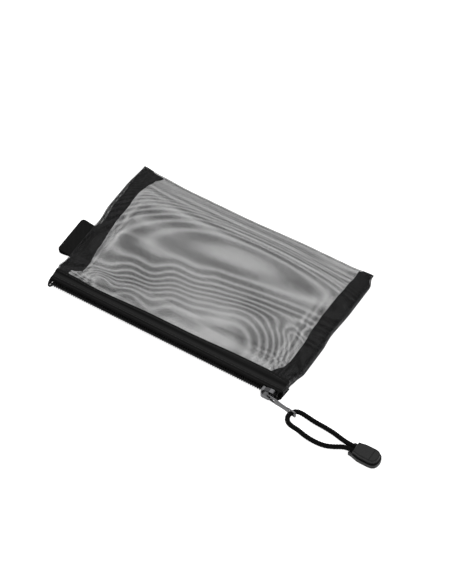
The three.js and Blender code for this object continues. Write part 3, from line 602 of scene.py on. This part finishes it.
def zip_tape(name, side):
    x = np.linspace(-SIDE_X + 0.3, SIDE_X - 0.3, 220)
    closed = smooth_step(np.abs(x), 82.5, 83.6)
    rings = np.array([strip_ring(tape_section(side, share), TAPE) for share in closed])
    points = np.concatenate([np.broadcast_to(x[:, None, None], (*rings.shape[:2], 1)), rings], -1)
    piece = skin(f"tape_{name}", settle(points), "pouch", closed_columns=True, ends="strip")
    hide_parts(f"zip_tape_{name}")
    return piece


tapes = [zip_tape("upper", 1), zip_tape("lower", -1)]
for piece in tapes:
    report(piece)

# %% [markdown]
# Each half of the zip is one nylon wire wound as a flat coil. It passes slowly through each
# head, so that the heads of the other half fit between, and quickly round the back. Beside
# the slider the two halves stand open. Inside each coil runs a twisted filler cord, which
# the stitches hold.

# %% The coils and their filler cords
COIL_PITCH, COIL_TURNS = 1.6, 105
WIRE = 0.3
HALF_CHAIN = 1.9
HEAD_OVERLAP = 0.3
COIL_MIDDLE_Y = -56.15


def chain_opening(x):
    """How far each half stands away from the middle line."""
    opened = np.clip((x - 74.1) / 3.8, 0, 1)
    closing = np.clip((x - 81.0) / 4.2, 0, 1)
    return opened - 0.5 * closing


def coil_line(side, steps=22):
    """The wire's middle line: a flat helix that lags in its heads."""
    reach = (HALF_CHAIN + HEAD_OVERLAP) / 2 - WIRE
    centre = reach - HEAD_OVERLAP + WIRE
    share = np.arange(COIL_TURNS * steps + 1) / steps
    angle = 2 * math.pi * share
    x = -COIL_TURNS * COIL_PITCH / 2 + side * COIL_PITCH / 4
    x = x + COIL_PITCH * (share - 0.7 * np.sin(angle) / (2 * math.pi))
    across = centre - reach * np.cos(angle) + chain_opening(x)
    y = COIL_MIDDLE_Y + 0.65 * np.sin(angle)
    return np.stack([x, y, ZIP_MID_Z + side * across], 1)


def twisted(distance, angle):
    """Three strands laid in a helix: the radius dips between them."""
    return 0.15 + 0.04 * np.abs(np.cos(1.5 * (angle - 2 * math.pi * distance / 1.4)))


def half_chain(name, side):
    wire = settle(tube(coil_line(side), WIRE, 7, (1.0, 0.0, 0.0)))
    coil = skin(f"coil_{name}", wire, "pouch", closed_columns=True, ends="round")
    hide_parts(f"zip_coil_{name}")
    x = np.linspace(-84.5, 84.5, 660)
    across = (HALF_CHAIN - HEAD_OVERLAP) / 2 + chain_opening(x)
    line = np.stack([x, np.full_like(x, COIL_MIDDLE_Y), ZIP_MID_Z + side * across], 1)
    thread = settle(tube(line, twisted, 9))
    filler = skin(f"filler_{name}", thread, "pouch", closed_columns=True, ends="round")
    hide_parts(f"filler_cord_{name}")
    return coil, filler


chains = [half_chain("upper", 1), half_chain("lower", -1)]
for pair in chains:
    report(pair[0])

# %% [markdown]
# The binding is a tape folded round the raw seam allowances, inside the pouch. Through the
# net it shows as the broad black band along each side. It is put on by hand, so its edges
# wander: it fans out where it is turned in, at the far left corner, in front of the tab and at
# the right end of the zip, and behind the tab it leaves a narrow rim of net outside it.

# %% The two side bindings
BINDING = 0.35
LEFT_INNER = [
    (-45.5, 78.2), (-39.0, 77.6), (-37.0, 73.6), (-35.5, 71.8), (-31, 71.8), (-14, 74.0),
    (4, 75.8), (20, 75.0), (34, 75.8), (42, 74.6), (48.6, 72.6), (53.4, 69.4),
]
RIGHT_INNER = [
    (-47.5, 66.5), (-42, 70.2), (-35, 73.2), (-26, 74.0), (-2, 73.4), (22, 72.4),
    (42, 73.3), (53.4, 75.6),
]
LEFT_OUTER = [(-45.5, 84.6), (-3, 84.6), (2, 82.4), (26, 83.0), (50, 84.4)]
RIGHT_OUTER = [(-47.5, 81.0), (-40, 82.6), (-32, 83.6), (20, 84.0), (53.4, 84.4)]


def binding_gap(y, side):
    """Half the space inside the folded tape: wide round the tab's ends, flat at the fold."""
    wide = 0.5 * (allowance_offset(side, y) - 0.16) / 0.9
    return (0.7 + wide) * (1 - 0.5 * smooth_step(y, 40, 53))


def binding_edges(side, y):
    """Distances of the band's inner and outer edge from the middle of the pouch."""
    inner, outer = (LEFT_INNER, LEFT_OUTER) if side < 0 else (RIGHT_INNER, RIGHT_OUTER)
    return float(flowing(y, inner)), float(flowing(y, outer))


def side_binding(name, side, front, rear):
    y = np.linspace(front, rear, 180)
    rings = []
    for at in y:
        gap = float(binding_gap(at, side)) + BINDING / 2
        inner, outer = binding_edges(side, at)
        leg = np.linspace(outer, inner + gap, 9)
        top = np.stack([leg, np.full_like(leg, gap)], 1)
        bend = arc((inner + gap + BINDING / 2, 0), gap, 90, 270)
        bottom = top[::-1] * [1, -1]
        ring = strip_ring(np.vstack([top[:-1], bend, bottom[1:]]), BINDING)
        height = ring[:, 1] + seam_middle(at)
        rings.append(np.stack([side * ring[:, 0], np.full(len(ring), at), height], 1))
    points = settle(np.array(rings))
    piece = skin(f"binding_{name}", points, "pouch", closed_columns=True, ends="strip")
    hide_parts(f"side_binding_{name}")
    return piece


bindings = [side_binding("left", -1, -45.5, 53.4), side_binding("right", 1, -47.5, 53.4)]
for piece in bindings:
    report(piece)

# %% [markdown]
# The tab is 28 mm webbing folded into a loop. Its section is a thin rounded bar, carried
# along the loop's line in (x, z), and its corners are rounded where the loop turns.

# %% The webbing tab
TAB_THICK = 0.8
TAB_MIDDLE_Z = float(seam_middle(TAB_START + TAB_WIDTH / 2))
TAB_END = -95.5


def tab_line():
    """Middle line of the webbing, from one end in the seam round the loop to the other."""
    bulge = TAB_END + 1.7 + TAB_THICK / 2
    upper = np.array([
        (-76.9, 0.5), (-81.0, 0.5), (-SIDE_X, 0.5), (-87.1, 0.68), (bulge + 2.6, 1.46), (bulge, 1.7),
    ])
    turn = arc((bulge, 0.0), 1.7, 90, 270, 9)[1:-1]
    lower = upper[::-1] * [1, -1]
    line = np.vstack([upper, turn, lower])
    line = np.stack([line[:, 0], np.zeros(len(line)), line[:, 1] + TAB_MIDDLE_Z], 1)
    return through(line, 120)


def bar_section(width, thickness, count=26):
    """A flat bar with round edges, as (across, over) pairs in a ring."""
    half = np.linspace(-1, 1, count)
    right = arc((width / 2 - thickness / 2, 0), thickness / 2, -60, 60, 5)
    left = arc((-width / 2 + thickness / 2, 0), thickness / 2, 120, 240, 5)
    bottom = np.stack([half * (width / 2 - thickness / 2), np.full(count, -thickness / 2)], 1)
    top = np.stack([-half * (width / 2 - thickness / 2), np.full(count, thickness / 2)], 1)
    return np.vstack([bottom, right, top, left])


line = tab_line()
along, _, _ = frames(line, (0.0, 1.0, 0.0))
section = bar_section(TAB_WIDTH, TAB_THICK)
corner = np.clip(3.0 - (line[:, 0] - TAB_END), 0, 3.0)
narrowed = 1 - (3.0 - np.sqrt(np.maximum(9.0 - corner ** 2, 0))) / (TAB_WIDTH / 2)
across_y = section[None, :, 0] * narrowed[:, None]
normal = np.cross(along, [0.0, 1.0, 0.0])
tab_points = line[:, None] + across_y[..., None] * [0, 1, 0]
tab_points = tab_points + section[None, :, 1, None] * normal[:, None]
tab_points[..., 1] += TAB_START + TAB_WIDTH / 2
tab = skin("webbing_tab", settle(tab_points), "pouch", closed_columns=True, ends="round")
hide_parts("side_tab")
report(tab)

# %% [markdown]
# The stitches are lockstitch: a row of separate short threads on each side of the cloth, whose
# ends go down into it. Each one is a small bent tube, and a whole row is one piece. The tape
# has two rows on top and two below, and each binding has one row along its middle.

# %% Rows of stitches
def stitches(name, line, up, pitch=2.4, share=0.82, wire=0.13):
    """Short threads along a line, arched away from the cloth with their ends sunk in it."""
    at = lengths_along(line)
    middles = np.arange(pitch, at[-1] - pitch / 2, pitch)
    offset = np.linspace(-0.5, 0.5, 6)
    where = middles[:, None] + pitch * share * offset[None]
    centre = np.stack([np.interp(where, at, line[:, k]) for k in range(3)], -1)
    along = centre[:, -1:] - centre[:, :1]
    along /= np.linalg.norm(along, axis=2, keepdims=True)
    up = np.array([0.0, 0.0, up])
    side = np.cross(np.broadcast_to(up, along.shape), along)
    lift = wire * (1.5 * np.cos(math.pi * offset) - 0.9)
    centre = centre + lift[None, :, None] * up
    angle = np.linspace(0, 2 * math.pi, 6, endpoint=False)
    size = wire * (0.65 + 0.35 * np.cos(math.pi * offset))[None, :, None, None]
    around = side[:, :, None] * np.cos(angle)[:, None] + up * np.sin(angle)[:, None]
    rings = centre[:, :, None] + size * around
    numbers, _ = grid_faces(len(offset), len(angle), False, True)
    step = len(offset) * len(angle)
    starts = np.arange(len(middles)) * step
    faces = (numbers[None] + starts[:, None, None]).reshape(-1, 4).tolist()
    first = np.arange(len(angle))
    for start in starts:
        faces.append((start + first[::-1]).tolist())
        faces.append((start + step - len(angle) + first).tolist())
    mesh = bpy.data.meshes.new(name)
    mesh.from_pydata(settle(rings).reshape(-1, 3) * MM, [], faces)
    mesh.polygons.foreach_set("use_smooth", np.ones(len(faces), bool))
    piece = bpy.data.objects.new(name, mesh)
    bpy.context.scene.collection.objects.link(piece)
    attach(piece, "pouch")
    return piece


row_x = np.linspace(-84.0, 84.0, 340)
thread_rows = []
for level, up in (("top", 1), ("under", -1)):
    for row, at in (("front", STITCH_FRONT), ("rear", STITCH_REAR)):
        z = ZIP_MID_Z + up * (ZIP_HEIGHT / 2 - 0.16)
        row_line = np.stack([row_x, np.full_like(row_x, at), np.full_like(row_x, z)], 1)
        thread_rows.append(stitches(f"stitches_{level}_{row}", row_line, up))
for side, name, front in ((-1, "left", -36.0), (1, "right", -45.0)):
    row_y = np.linspace(front, 52.0, 200)
    z = seam_middle(row_y) + binding_gap(row_y, side) + BINDING
    row_line = np.stack([np.full_like(row_y, side * 79.6), row_y, z], 1)
    thread_rows.append(stitches(f"stitches_binding_{name}", row_line, 1))
print("stitches:", sum(len(piece.data.vertices) for piece in thread_rows) // 36)

# %% [markdown]
# Black nylon net, seen close, is a grid of fine threads with holes between. The holes are
# made with alpha: a thread is where a wave over the sheet's own UV map is high. Where two
# such layers lie over each other, light and dark bands appear whose course follows the
# smallest differences between the layers. A camera sees these bands and not the threads,
# so the threads of the upper layer get a little thicker and thinner along the bands. Their
# course is a height map made of a few hills: the bands are its contour lines. The net looks
# denser in its creases and at the zip's turned-in ends. Towards the zip its threads are drawn
# thicker as painted shade, and in the narrow rim outside the bindings they are drawn thinner
# as a painted light line. Where the first thread lies sets how the threads of the upper layer
# fall between those of the lower one.

# %% Finish of the net
NET_PITCH = 0.6
THREAD_START = 0.15
THREAD_PEAK = 0.98
BAND_DEPTH = 0.47


def contour_height(x, y):
    """Height whose contour lines are the bands, from x and y in mm.

    p and q are x and y turned to where the bands run. A long valley lies across the middle,
    and the height grows with the square of the distance from it. It starts at a half, so that
    the valley's floor is a light band. In front of it stands a round hill, and a small one
    lies at the left end of the zip.
    """
    p = (x - 12.2) * 0.85 + (y + 1.7) * 0.527
    q = (x - 12.2) * -0.418 + (y + 1.7) * 0.673
    from_valley = q - 20.0 + p * 0.28 + p.square() * 0.0026
    valley = (from_valley * (1 / 12.5)).square() + ((p - 7) * (1 / 56)).square() + 0.5
    right_of_hill = (p + 0.6).larger(0.0)
    left_of_hill = (p * -1 - 0.6).larger(0.0)
    hill_across = ((q + 35.5 - left_of_hill * 0.25) * (1 / 12.8)).square() * 1.1
    hill = (right_of_hill * (1 / 15)).square() * -1 + 10.5 - hill_across
    hill = hill + (3.2 - hill) * right_of_hill.step(36, 50)
    near_hill = (from_valley * -1).step(22, 37)
    small_x = ((x + 57) * (1 / 9)).square()
    small_y = ((y + 39) * (1 / 6)).square()
    small_hill = ((small_x + small_y) * -1).exp() * 3.4
    ripple = (x * (1 / 5.5) + y * (1 / 9)).sin() * (x * -1).step(-20, 30) * 0.5
    to_fold = ((y - 28).larger(0.0) * (1 / 11)).square()
    total = valley + (hill - valley) * near_hill
    return total + small_hill + ripple * (from_valley * -1).step(4, 22) + to_fold


net_finish = Finish("black_net", Roughness=0.8, Specular_IOR_Level=0.2)
u, v, _ = net_finish.place("UV")
wave = 2 * math.pi / (NET_PITCH * MM)
x, y, z = (part * (1 / MM) for part in net_finish.place())
band = (contour_height(x, y) * (2 * math.pi)).cos()
upper_layer = z.step(1.6, 2.4)
half_width = lengths_along(sheet_points[len(sheet_points) // 2])[-1] / 2
half_length = lengths_along(sheet_points[:, 0])[-1] / 2
from_middle = (v * (1 / MM) - half_width).size()
from_fold = (u * (1 / MM) - half_length).size()
crease = (from_fold.step(0.5, 1.1) * -2.2 + 2.2).larger(from_middle.step(84.4, 84.9) * 0.8)
# Painted light line: the threads in the narrow rim outside the bindings are drawn thinner, so that
# it shows lighter.
rim = from_middle.step(81.5, 82.5) * (1 - from_middle.step(83.9, 84.4)) * -0.4
zip_ends = x.size().step(82.5, 84.0) * (y * -1).step(46, 49) * 4.0
# Painted shade: towards the zip the threads are drawn thicker, so that the net shows darker there.
painted_shade_by_zip = (y * -1).step(26, 42) * 0.07
cloud = net_finish.noise(25.0) * 0.12 - 0.06
extra = crease + zip_ends + painted_shade_by_zip + rim + cloud
peak = (band * upper_layer * BAND_DEPTH + 1 + extra) * THREAD_PEAK
along_thread = (((u + THREAD_START * MM) * wave).cos() * 0.5 + 0.5) ** 3.0 * peak
across_thread = ((v * wave).cos() * 0.5 + 0.5) ** 3.0 * peak
net_finish.feed("Alpha", 1 - (1 - along_thread).larger(0.0) * (1 - across_thread).larger(0.0))
net_finish.shader.inputs["Base Color"].default_value = (0.018, 0.018, 0.0185, 1)
net_finish.give(net)

# %% [markdown]
# The other black finishes differ in how they scatter light. The tapes are woven: fine ribs
# in their own direction. A woven cloth's colour is painted lighter on its high threads and
# darker between them, as painted light and shade of the weave, mixed with a random tone.
# Across its width the zip tape's colour carries painted light and shade as well: a dark
# front face, a painted highlight along the bend, and light and dark lengthwise lines for its
# ridges and dips. The coil is smooth nylon.

# %% Finishes of tapes, bindings, webbing and cord
# Painted light and shade across the zip tape, as (y, lightness): its front face is painted dark as
# shade, a painted highlight lies along the bend, and the lines behind paint the light on its ridges
# and the shade in its dips.
TAPE_PAINTED_LIGHT = [
    (-54.9, 0.1), (-54.4, 0.6), (-53.7, 0.0), (-52.6, 0.7), (-51.4, 1.0), (-50.2, 0.5),
    (-49.2, 0.0), (-48.0, 0.1), (-47.2, 0.4),
]


def painted_light_stripes(y, points):
    """Painted light and shade across the cloth's width, by y: lengthwise lines between (y,
    lightness) points.
    """
    total = points[0][1]
    for (start, low), (stop, high) in zip(points, points[1:]):
        total = y.step(start * MM, stop * MM) * (high - low) + total
    return total


def woven(name, rib_u, rib_v, dark, light, depth, ridges=None):
    """Cloth whose ribs along u and v cross like a chessboard."""
    finish = Finish(name, Roughness=0.9, Specular_IOR_Level=0.06)
    u, v, _ = finish.place("UV")
    over = (u * (2 * math.pi / (rib_u * MM))).sin()
    under = (v * (2 * math.pi / (rib_v * MM))).sin()
    height = (over * under) * 0.5 + 0.5
    # Painted light and shade of the weave: lighter where the threads are high, darker between them,
    # mixed with a random tone.
    shade = (height * 0.6 + finish.noise(60.0) * 0.4).step(0.2, 0.8)
    # Where painted light and shade across the width are given, they take most of the colour.
    if ridges:
        shade = shade * 0.3 + painted_light_stripes(finish.place()[1], ridges) * 0.7
    finish.feed("Base Color", finish.blend(shade, (dark,) * 3, (light,) * 3))
    finish.relief(height, depth * MM, 0.6)
    return finish


def flecked(name, scale, dark, light, roughness, gloss):
    """Thread or wire without a weave of its own, a little lighter and darker along its way."""
    finish = Finish(name, Roughness=roughness, Specular_IOR_Level=gloss)
    finish.feed("Base Color", finish.blend(finish.noise(scale), (dark,) * 3, (light,) * 3))
    return finish


woven("woven_zip_tape", 0.7, 0.55, 0.0015, 0.024, 0.12, TAPE_PAINTED_LIGHT).give(*tapes)
woven("woven_binding", 0.6, 0.6, 0.005, 0.015, 0.1).give(*bindings)
woven("ribbed_webbing", 1.0, 1.3, 0.002, 0.016, 0.25).give(tab)
woven("braided_cord", 0.4, 0.4, 0.0015, 0.006, 0.05).give(cord, knot)
flecked("sewing_thread", 700.0, 0.012, 0.035, 0.6, 0.3).give(*thread_rows)
flecked("nylon_wire", 300.0, 0.002, 0.005, 0.35, 0.12).give(*(coil for coil, _ in chains))
flecked("filler_thread", 800.0, 0.006, 0.014, 0.9, 0.2).give(*(filler for _, filler in chains))

# %% [markdown]
# The slider and its tab are die-cast zinc with a dark nickel plate, and the end piece is
# satin moulded plastic. Their solids have the right shape already, so they stay and only
# get these finishes.

# %% Finishes of the metal and the plastic
metal = Finish("dark_nickel", Metallic=1.0, Coat_Weight=0.35, Coat_Roughness=0.08)
grain = metal.noise(900.0)
cloud = metal.noise(120.0)
metal.feed("Base Color", metal.blend(cloud, (0.03, 0.03, 0.032), (0.07, 0.07, 0.073)))
metal.feed("Roughness", grain * 0.12 + 0.18)
metal.relief(grain, 0.02 * MM, 0.4)
plastic = Finish("satin_plastic", Specular_IOR_Level=0.16)
grain = plastic.noise(1500.0)
cloud = plastic.noise(90.0)
plastic.feed("Base Color", plastic.blend(cloud, (0.005,) * 3, (0.009,) * 3))
plastic.feed("Roughness", grain * 0.12 + 0.38)
plastic.relief(grain, 0.015 * MM, 0.5)
metal.give(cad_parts["slider_body"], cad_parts["pull_tab"])
plastic.give(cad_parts["cord_end_base"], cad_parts["cord_end_cap"])

# %% [markdown]
# The table is white. Its own colour takes the soft shadow, and a little light that only the
# camera, mirrors and glass see lifts it to the photograph's white.

# %% Table, sky and lamps
FLOOR_LIFT = 0.84
FLOOR_GAP = 0.15
FLOOR_HALF = 2000
floor_points = np.array([
    (x, y, -FLOOR_GAP) for x, y in ((-1, -1), (1, -1), (1, 1), (-1, 1))
]) * [FLOOR_HALF, FLOOR_HALF, 1]
floor_mesh = bpy.data.meshes.new("table")
floor_mesh.from_pydata(floor_points * MM, [], [[0, 1, 2, 3]])
floor = bpy.data.objects.new("table", floor_mesh)
bpy.context.scene.collection.objects.link(floor)

table = Finish("white_table", Roughness=0.9, Specular_IOR_Level=0.0)
table.shader.inputs["Base Color"].default_value = (0.82, 0.82, 0.82, 1)
table.shader.inputs["Emission Color"].default_value = (1, 1, 1, 1)


def seen_share(finish):
    """1 for rays from the camera, mirrors and glass, and 0 for light on the object."""
    path = finish.add("ShaderNodeLightPath").socket.node.outputs
    camera_ray = Value(finish, path["Is Camera Ray"])
    return camera_ray.larger(Value(finish, path["Is Glossy Ray"])).larger(
        Value(finish, path["Is Transmission Ray"]))


lift = table.add("ShaderNodeEmission", inputs={"Strength": seen_share(table) * FLOOR_LIFT})
total = table.add("ShaderNodeAddShader", inputs=[Value(table, table.shader.outputs[0]), lift])
table.tree.links.new(total.socket, table.tree.nodes["Material Output"].inputs["Surface"])
table.give(floor)

world = bpy.data.worlds.new("studio")
bpy.context.scene.world = world
world.use_nodes = True


class Sky(Finish):
    """The world's nodes, used with the same maths as a material."""

    def __init__(self, tree):
        self.tree = tree


sky = Sky(world.node_tree)
background = world.node_tree.nodes["Background"]
SKY_LIGHT = 0.6
strength = seen_share(sky) * (1 - SKY_LIGHT) + SKY_LIGHT
background.inputs["Color"].default_value = (1, 1, 1, 1)
world.node_tree.links.new(strength.socket, background.inputs["Strength"])


def softbox(name, place, size, power):
    lamp = bpy.data.lights.new(name, "AREA")
    lamp.shape = "DISK"
    lamp.size = size
    lamp.energy = power
    box = bpy.data.objects.new(name, lamp)
    bpy.context.scene.collection.objects.link(box)
    box.location = place
    aim(box, (0, 0, 0))


softbox("softbox_high", (-0.35, 0.5, 1.5), 1.3, 9.0)
softbox("softbox_side", (0.9, 0.5, 0.9), 0.6, 2.5)

bpy.context.scene.view_settings.view_transform = "Standard"
